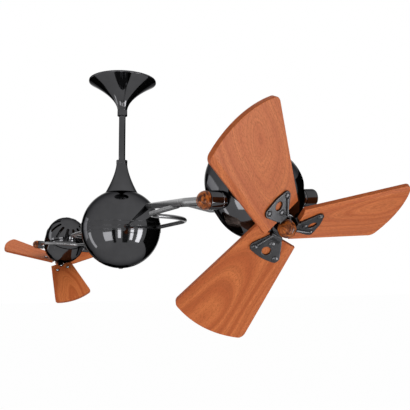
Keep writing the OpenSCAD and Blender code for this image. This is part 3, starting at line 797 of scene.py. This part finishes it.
class FAN_OT_bowls(bpy.types.Operator):
    """Model the windowed front half of each motor housing, with the pivots' bosses"""
    bl_idname = "fan.bowls"
    bl_label = "Front bowls"

    def execute(self, context):
        r, steps = sizes().head_r, 30
        inner, shaft, front_z, back_z = r - WALL, 5 * MM, 31 * MM, 23 * MM
        outside = math.asin((BOWL_FRONT - BOWL_Z) / r)
        inside = math.asin((BOWL_FRONT - WALL - BOWL_Z) / inner)
        profile = [(r, DOME_Z)] + arc(0, BOWL_Z, r, 0, outside, steps)
        profile += [(shaft, BOWL_FRONT), (shaft, front_z), (BEARING_R, front_z),
                    (BEARING_R, back_z), (BOSS_R, back_z), (BOSS_R, BOWL_FRONT - WALL)]
        profile += arc(0, BOWL_Z, inner, inside, 0, steps) + [(inner, DOME_Z)]
        bowl = lathe("bowl_a", profile, 144, True)
        window = rounded_corners(in_mm((-15, -12.5, 5), (15, -12.5, 5), (12, 12.5, 5),
                                       (-12, 12.5, 5)))
        tools = []
        for i in range(6):
            tool = plate("window_tool", [window], *WINDOW_DEPTHS, TOOL_EDGE, 1)
            place = (turn(i * TURN / 6, "Z") @ shift(0, 0, BOWL_Z)
                     @ turn(TURN / 4 - WINDOW_LIFT, "Y") @ turn(TURN / 4, "Z"))
            tools.append(moved(tool, place))
        cut(bowl, [joined("window_tools", tools)])
        for end_sign in (-1, 1):
            lug = lathe("lug", ring(5 * MM, 9.4 * MM, 44 * MM, BARREL_IN - 0.9 * MM), 64, True)
            moved(lug, turn(-end_sign * TURN / 4, "X"))
            bowl = joined("bowl_a", [bowl, lug])
        bevelled(bowl, 0.45 * MM, 2, 50)
        for side, piece in enumerate((bowl, copied(bowl, "bowl_b"))):
            mark = SIDES[side]
            blackened(piece, "head_" + mark, ["front_bowl_" + mark], at_head(side))
        return {"FINISHED"}


class FAN_OT_pins(bpy.types.Operator):
    """Turn head a's pivot pins, whose far one ends in a low domed cap"""
    bl_idname = "fan.pins"
    bl_label = "Pivot pins"

    def execute(self, context):
        start, pin, stud, end = sizes().head_r - 8 * MM, 5 * MM, 2 * MM, BARREL_OUT + 8 * MM
        plain = [(0, start), (pin, start), (pin, BARREL_OUT), (stud, BARREL_OUT), (stud, end),
                 (0, end)]
        dome_r, rim = 24 * MM, 9.9 * MM
        capped = [(0, start), (pin, start), (pin, FINIAL_Z), (rim, FINIAL_Z)]
        capped += arc(0, FINIAL_Z + 3 * MM - dome_r, dome_r, math.acos(rim / dome_r), TURN / 4, 12)
        near = moved(lathe("pin", plain, 48), turn(TURN / 4, "X"))
        far = moved(bevelled(lathe("pin", capped, 72), 0.35 * MM, 3, 40), turn(-TURN / 4, "X"))
        blackened(joined("pivot_pins_a", [near, far]), "head_a", ["trunnions_a"], at_head(0))
        return {"FINISHED"}


class FAN_OT_finials(bpy.types.Operator):
    """Turn the wooden acorns of the pivots and the balls on the hubs"""
    bl_idname = "fan.finials"
    bl_label = "Finials"

    def execute(self, context):
        burl = finish_named("turned_burl")
        acorn = [(0, FINIAL_Z), (9.6 * MM, FINIAL_Z), (10.4 * MM, FINIAL_Z + 0.8 * MM)]
        acorn += [(10.5 * x * MM, FINIAL_Z + (2.4 + 10.4 * y) * MM)
                  for x, y in arc(0, 0, 1, 0, TURN / 4, 20)]
        ball_r, centre, foot = 10 * MM, 57.5 * MM, 51 * MM
        round_ball = [(0, foot)] + arc(0, centre, ball_r, math.asin((foot - centre) / ball_r),
                                       TURN / 4, 24)
        for side, mark in enumerate(SIDES):
            ends = []
            for end_sign in ((-1,), (-1, 1))[side]:
                piece = lathe("acorn", acorn, 72)
                keep_grain(piece, 0.4 * side + 0.13 * end_sign)
                ends.append(moved(piece, turn(-end_sign * TURN / 4, "X")))
            finished(joined("acorns_" + mark, ends), "head_" + mark, burl,
                     ["pivot_finials_" + mark], at_head(side))
            ball = lathe("hub_ball_look_" + mark, round_ball, 72)
            keep_grain(ball, 0.9 + 0.4 * side)
            finished(ball, "rotor_" + mark, burl, ["hub_ball_" + mark],
                     at_head(side))
        return {"FINISHED"}


# ---- Rotors --------------------------------------------------------------------------------

BLADE_Z = 51 * MM
IRON_T = 2.6 * MM
IRON_SCREWS = ((36, 14), (36, -14), (23.5, 0))  # millimetres


class FAN_OT_hubs(bpy.types.Operator):
    """Model the metal hub before each bowl and the brackets that hold the blades"""
    bl_idname = "fan.hubs"
    bl_label = "Hubs and irons"

    def execute(self, context):
        half = sizes().blade_t / 2
        top = half + IRON_T
        hub_line = in_mm((4, 37), (11.5, 37), (13.5, 39), (13.5, 51), (4, 51))
        iron_line = rounded_corners(in_mm((15.5, -8, 1), (40, -22.5, 6), (43, 0, 30),
                                          (40, 22.5, 6), (15.5, 8, 1)), 8)
        neck_line = rounded_corners(in_mm((12, -7, 1), (20, -7, 1), (20, 7, 1), (12, 7, 1)), 4)
        boss_line = in_mm((0, 0), (3.4, 0), (3.2, 0.7), (2.4, 1.3), (1.2, 1.55), (0, 1.6))
        rib_line = flat(in_mm((14, -5), (20, -7.4), (28, -10.6), (33, -12.8)), top + 0.2 * MM)
        hole = arc(33 * MM, 0, 5 * MM, 0, TURN * 31 / 32, 31)
        for side, mark in enumerate(SIDES):
            hub = bevelled(lathe("hub_" + mark, hub_line, 72, True), 0.6 * MM, 2)
            blackened(hub, "rotor_" + mark, ["blade_hub_" + mark], at_head(side))
            irons = []
            for k in range(3):
                parts = [plate("iron", [iron_line, hole], half, top, 0.6 * MM)]
                for x, y in IRON_SCREWS:
                    parts.append(moved(lathe("boss", boss_line, 32),
                                       shift(x * MM, y * MM, top - 0.05 * MM)))
                parts.append(plate("neck", [neck_line], -half, top, 0.5 * MM))
                parts.append(tube("rib", rib_line, 1.6 * MM, 6))
                irons.append(moved(joined("iron", parts), at_blade(side, k)))
            finished(joined("irons_" + mark, irons), "rotor_" + mark,
                     finish_named("satin_plate"), ["blade_irons_" + mark])
        return {"FINISHED"}


def screw_head():
    """A pan head with a cross recess, facing down from a blade's back."""
    head = lathe("screw_pattern", in_mm((0, -0.9), (2.9, -0.9), (2.9, -1.9), (2.1, -2.7),
                                        (0, -2.9)), 40)
    bar = in_mm((-1.6, -0.35), (1.6, -0.35), (1.6, 0.35), (-1.6, 0.35))
    tool = plate("cross_tool", [bar], -4 * MM, -2 * MM, 0.02 * MM, 1)
    return cut(head, [tool, copied(tool, "cross_tool", turn(TURN / 4, "Z"))])


def chamfer(piece, corner, along, half):
    """Planes the front of a blade down along one edge."""
    width, depth = 6.2 * MM, 1.7 * MM
    outward = Vector((-math.sin(along), math.cos(along), 0))
    start = corner - outward * width + Vector((0, 0, half))
    edit(piece)
    bpy.ops.mesh.bisect(plane_co=start, plane_no=outward * depth + Vector((0, 0, width)),
                        use_fill=True, clear_outer=True, threshold=1e-7)
    object_mode()


class FAN_OT_blades(bpy.types.Operator):
    """Shape the wooden blades and the screws that hold them"""
    bl_idname = "fan.blades"
    bl_label = "Blades"

    def execute(self, context):
        s = sizes()
        half, quarter = s.blade_t / 2, TURN / 4
        tip_arc, corner, tip_half, root_half = 110 * MM, 8 * MM, 46.5 * MM, 26 * MM
        root, notch, notch_half, gap = 14.5 * MM, 20.5 * MM, 8 * MM, 0.02
        tip_x = s.rotor_r - tip_arc
        corner_y = tip_half - corner
        corner_x = tip_x + math.sqrt((tip_arc - corner) ** 2 - corner_y ** 2)
        tip_turn = math.atan2(corner_y, corner_x - tip_x)
        run = Vector((corner_x - root, corner_y - root_half))
        side_turn = math.atan2(run.y, run.x) + math.asin(corner / run.length)
        outline = [(root, -root_half)]
        outline += arc(corner_x, -corner_y, corner, -quarter - side_turn, -tip_turn, 10)
        outline += arc(tip_x, 0, tip_arc, gap - tip_turn, tip_turn - gap, 40)
        outline += arc(corner_x, corner_y, corner, tip_turn, quarter + side_turn, 10)
        outline += [(root, root_half), (root, notch_half), (notch, notch_half),
                    (notch, -notch_half), (root, -notch_half)]
        pattern = plate("blade_pattern", [outline], -half, half, 0.8 * MM, 8)
        chamfer(pattern, Vector((root, root_half, 0)), side_turn, half)
        wood = finish_named("lacquered_mahogany")
        screw = screw_head()
        washer = bevelled(lathe("washer_pattern", ring(0, 4.6 * MM, 0, -0.9 * MM), 40),
                          0.25 * MM)
        for side, mark in enumerate(SIDES):
            screws, washers = [], []
            for k in range(3):
                name = "blade_%s%d" % (mark, k + 1)
                piece = copied(pattern, "wood_" + name)
                board = 0.37 * (3 * side + k) + 0.11
                keep_grain(piece, board, rim_z=0.8)
                finished(piece, "rotor_" + mark, wood, [name], at_blade(side, k),
                         smooth=13)
                for x, y in IRON_SCREWS:
                    place = at_blade(side, k) @ shift(x * MM, y * MM, -half)
                    screws.append(copied(screw, "screw", place @ turn(x + 2 * y + k, "Z")))
                    washers.append(copied(washer, "washer", place))
            body, nodes = "rotor_" + mark, ["blade_fasteners_" + mark]
            finished(joined("screws_" + mark, screws), body, finish_named("bare_steel"),
                     nodes)
            blackened(joined("washers_" + mark, washers), body, nodes)
        for model in (pattern, screw, washer):
            bpy.data.objects.remove(model)
        return {"FINISHED"}


# ---- Carried-over nodes --------------------------------------------------------------------

KEPT_FINISH = {
    "bright_steel": "bare_steel", "copper_rings": "bare_copper", "black_plastic": "moulded_plastic",
    "grey_casting": "casting", "motor_copper": "winding_varnish", "motor_iron": "casting",
    "black_nickel": "dark_plate",
}


class FAN_OT_inner_parts(bpy.types.Operator):
    """Give the carried-over inner parts their finishes"""
    bl_idname = "fan.inner_parts"
    bl_label = "Inner parts"

    def execute(self, context):
        bare_steel("bare_copper", (0.62, 0.30, 0.17))
        bare_steel("casting", (0.16, 0.16, 0.165), (0.45, 0.7))
        slots = {row["node"]: row["material_slot"] for row in frame["record"]["subparts"]}
        for node, piece in frame["nodes"].items():
            # The housings' screws are plated like the housings
            slot = "black_nickel" if "housing_screws" in node else slots[node]
            finish = KEPT_FINISH.get(slot)
            if finish:
                piece.data.materials.clear()
                piece.data.materials.append(finish_named(finish))
        return {"FINISHED"}


# ---- Stage ---------------------------------------------------------------------------------

CAMERA_AT = (1.0944, -0.3384, -0.3893)
CAMERA_AHEAD = (-0.8971, 0.42447, 0.12269)
CAMERA_ROLL = math.radians(-0.40)
FOCAL_PIXELS = 588.86
FRAME_PIXELS = 410
SENSOR = 36.0
FLOOR_Z = -1.6


def white_to_the_eye(tree, lit, seen=1.0):
    """A strength that is full where it is seen or mirrored, and plain where it only lights."""
    path = tree.nodes.new("ShaderNodeLightPath")
    either = None
    for ray in ("Is Camera Ray", "Is Glossy Ray", "Is Transmission Ray"):
        if either is None:
            either = path.outputs[ray]
            continue
        most = tree.nodes.new("ShaderNodeMath")
        most.operation = "MAXIMUM"
        tree.links.new(either, most.inputs[0])
        tree.links.new(path.outputs[ray], most.inputs[1])
        either = most.outputs[0]
    ranged = tree.nodes.new("ShaderNodeMapRange")
    tree.links.new(either, ranged.inputs["Value"])
    ranged.inputs["To Min"].default_value = lit
    ranged.inputs["To Max"].default_value = seen
    return ranged.outputs["Result"]


# Lamps that light the fan but aren't mirrored in it: place, width, height and power
SOFT_LAMPS = (
    ("top_lamp", (-0.3, 1.2, 1.6), 1.4, 1.4, 26),
    ("front_lamp", (1.7, -0.2, -1.35), 1.0, 1.0, 10),
    ("back_lamp", (-1.7, 0.2, -1.35), 1.0, 1.0, 10),
    ("side_lamp", (0.3, -2.2, 0.7), 1.2, 1.2, 12),
)
# Windows and dark flags around the fan, which only its plate mirrors:
# azimuth and span in degrees, lower and upper edge in metres, brightness
WINDOWS = (
    ("window_left", -57, 26, -1.30, -0.60, 4.5),
    ("window_slit", -22, 9, -1.12, -0.48, 8.0),
    ("window_narrow", 14, 9, -1.25, -0.44, 11.0),
    ("window_right", 38, 15, -1.35, -0.40, 12.0),
    ("window_corner", -118, 11, -1.35, -0.45, 4.0),
    ("window_side", -137, 18, -0.62, 0.15, 2.4),
)
FLAGS = (
    ("flag_left", -38, 9, -1.55, -0.45, 0.03),
    ("flag_middle", -4, 18, -1.55, -0.55, 0.15),
    ("flag_right", 98, 78, -1.30, 0.30, 0.012),
    ("flag_far_left", -162, 20, -1.00, 0.20, 0.02),
    ("flag_behind", 168, 30, -1.55, -0.24, 0.02),
    ("flag_sill", 8, 84, -0.66, -0.62, 0.05),
)
WINDOW_RADIUS = 1.40
FLAG_RADIUS = 1.32


def around_fan(azimuth, span, low, high, radius):
    """Place, width and height of an upright board that faces the rod from a distance."""
    a = math.radians(azimuth)
    place = (radius * math.cos(a), radius * math.sin(a), (low + high) / 2)
    return place, 2 * radius * math.tan(math.radians(span / 2)), high - low


def facing(place, target):
    return (Vector(target) - Vector(place)).to_track_quat("-Z", "Y").to_euler()


def lamp(name, place, target, width, height, power):
    nothing_selected()
    bpy.ops.object.light_add(type="AREA", location=place)
    made = bpy.context.object
    made.name = name
    made.data.shape = "RECTANGLE"
    made.data.size, made.data.size_y = width, height
    made.data.energy = power
    made.rotation_euler = facing(place, target)
    made.visible_camera = False
    return made


class FAN_OT_stage(bpy.types.Operator):
    """Set the pale floor, the soft lamps, the boards that the plate mirrors and the camera"""
    bl_idname = "fan.stage"
    bl_label = "Stage"

    def execute(self, context):
        scene = context.scene
        world = bpy.data.worlds.new("pale_surroundings")
        scene.world = world
        world.use_nodes = True
        tree = world.node_tree
        tree.nodes["Background"].inputs["Color"].default_value = (1, 1, 1, 1)
        tree.links.new(white_to_the_eye(tree, 0.48), tree.nodes["Background"].inputs["Strength"])

        nothing_selected()
        bpy.ops.mesh.primitive_plane_add(size=60, location=(0, 0, FLOOR_Z))
        floor = context.object
        floor.name = "floor"
        paint = Finish("floor_paint")
        paint.set(Base_Color=(*colours().backdrop, 1), Roughness=0.9)
        blend = paint.node("ShaderNodeMixShader")
        glow = paint.node("ShaderNodeEmission")
        paint.link(white_to_the_eye(paint.tree, 0.0, 0.98), blend.inputs["Fac"])
        paint.link(paint.shader.outputs["BSDF"], blend.inputs[1])
        paint.link(glow.outputs["Emission"], blend.inputs[2])
        paint.link(blend.outputs["Shader"], paint.tree.nodes["Material Output"].inputs["Surface"])
        floor.data.materials.append(paint.material)

        for name, place, width, height, power in SOFT_LAMPS:
            lamp(name, place, (0.1, 0, -0.3), width, height, power).visible_glossy = False
        for name, azimuth, span, low, high, brightness in WINDOWS:
            place, width, height = around_fan(azimuth, span, low, high, WINDOW_RADIUS)
            power = brightness * math.pi * width * height
            lamp(name, place, (0, 0, place[2]), width, height, power).visible_diffuse = False
        for name, azimuth, span, low, high, shade in FLAGS:
            place, width, height = around_fan(azimuth, span, low, high, FLAG_RADIUS)
            nothing_selected()
            bpy.ops.mesh.primitive_plane_add(size=1, location=place)
            flag = context.object
            flag.name = name
            flag.scale = (width, height, 1)
            flag.rotation_euler = facing(place, (0, 0, place[2]))
            felt = Finish(name + "_felt")
            felt.set(Base_Color=(shade, shade, shade, 1), Roughness=1.0)
            flag.data.materials.append(felt.material)
            flag.visible_camera = flag.visible_diffuse = flag.visible_shadow = False

        ahead = Vector(CAMERA_AHEAD).normalized()
        right = ahead.cross(Vector((0, 0, 1))).normalized()
        up = right.cross(ahead)
        cos, sin = math.cos(CAMERA_ROLL), math.sin(CAMERA_ROLL)
        right, up = right * cos + up * sin, up * cos - right * sin
        bpy.ops.object.camera_add(location=CAMERA_AT)
        camera = context.object
        camera.name = "view_camera"
        camera.rotation_euler = Matrix((right, up, -ahead)).transposed().to_euler()
        camera.data.sensor_width = SENSOR
        camera.data.lens = FOCAL_PIXELS / FRAME_PIXELS * SENSOR
        camera.data.clip_start = 0.01
        scene.camera = camera
        scene.view_settings.view_transform = "Standard"
        return {"FINISHED"}


# ---- Panel and registration ----------------------------------------------------------------

STEPS = (FAN_OT_suspension, FAN_OT_ball, FAN_OT_arms, FAN_OT_domes, FAN_OT_bowls,
         FAN_OT_pins, FAN_OT_finials, FAN_OT_hubs, FAN_OT_blades, FAN_OT_inner_parts, FAN_OT_stage)


class FAN_PT_sidebar(bpy.types.Panel):
    """Sizes, colours and steps of the fan"""
    bl_idname = "FAN_PT_sidebar"
    bl_label = "Twin head ceiling fan"
    bl_space_type = "VIEW_3D"
    bl_region_type = "UI"
    bl_category = "Fan"

    def draw(self, context):
        for group in (context.scene.fan_sizes, context.scene.fan_colours):
            box = self.layout.box()
            for key in group.bl_rna.properties.keys():
                if key not in ("rna_type", "name"):
                    box.prop(group, key)
        for step in STEPS:
            self.layout.operator(step.bl_idname)


CLASSES = (FanSizes, FanColours, *STEPS, FAN_PT_sidebar)


def register():
    for cls in CLASSES:
        bpy.utils.register_class(cls)
    bpy.types.Scene.fan_sizes = bpy.props.PointerProperty(type=FanSizes)
    bpy.types.Scene.fan_colours = bpy.props.PointerProperty(type=FanColours)


def unregister():
    del bpy.types.Scene.fan_sizes
    del bpy.types.Scene.fan_colours
    for cls in reversed(CLASSES):
        bpy.utils.unregister_class(cls)


def main():
    register()
    for step in STEPS:
        group, name = step.bl_idname.split(".")
        getattr(getattr(bpy.ops, group), name)()


if __name__ == "__main__":
    main()
